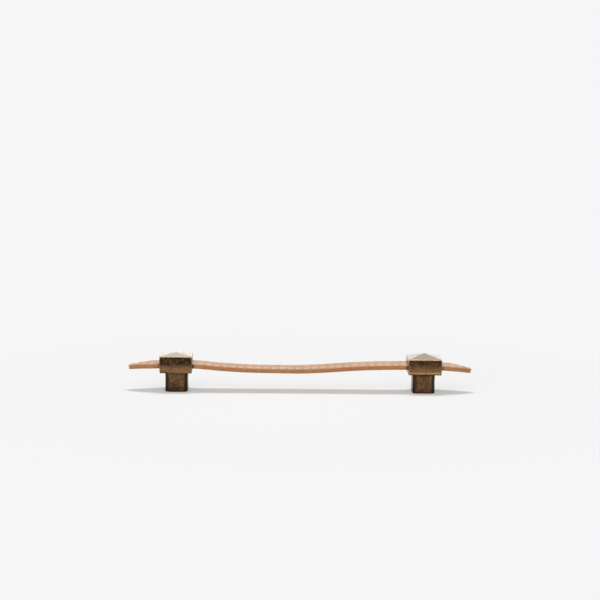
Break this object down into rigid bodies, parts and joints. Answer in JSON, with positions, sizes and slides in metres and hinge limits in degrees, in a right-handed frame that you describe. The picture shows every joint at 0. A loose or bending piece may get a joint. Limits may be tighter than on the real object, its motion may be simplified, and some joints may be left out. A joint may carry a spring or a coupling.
{
  "type": "leather strap pull",
  "caption": "Stitched leather strap threaded through slotted bronze heads with low pyramid tops, each on a rounded square post.",
  "frame": {"origin": "on the surface that the posts stand on, midway between the axes of their fixing holes", "axes": "+X along the strap, +Y across the strap away from the front, +Z from the mounting surface out through the heads"},
  "size_m": [0.2668, 0.0262, 0.0306],
  "materials": {
    "aged_bronze": "cast bronze with a dark brown patina, worn bright along its edges",
    "stud_steel": "plain steel",
    "tan_leather": "natural tan leather with a soft sheen and darker burnished cut edges",
    "waxed_thread": "cream waxed thread, slightly sunk into the leather"
  },
  "bodies": {
    "root": {"left_head": "aged_bronze", "right_head": "aged_bronze", "left_post": "aged_bronze", "right_post": "aged_bronze", "left_stud": "stud_steel", "right_stud": "stud_steel", "strap": "tan_leather", "stitching": "waxed_thread"}
  },
  "joints": []
}
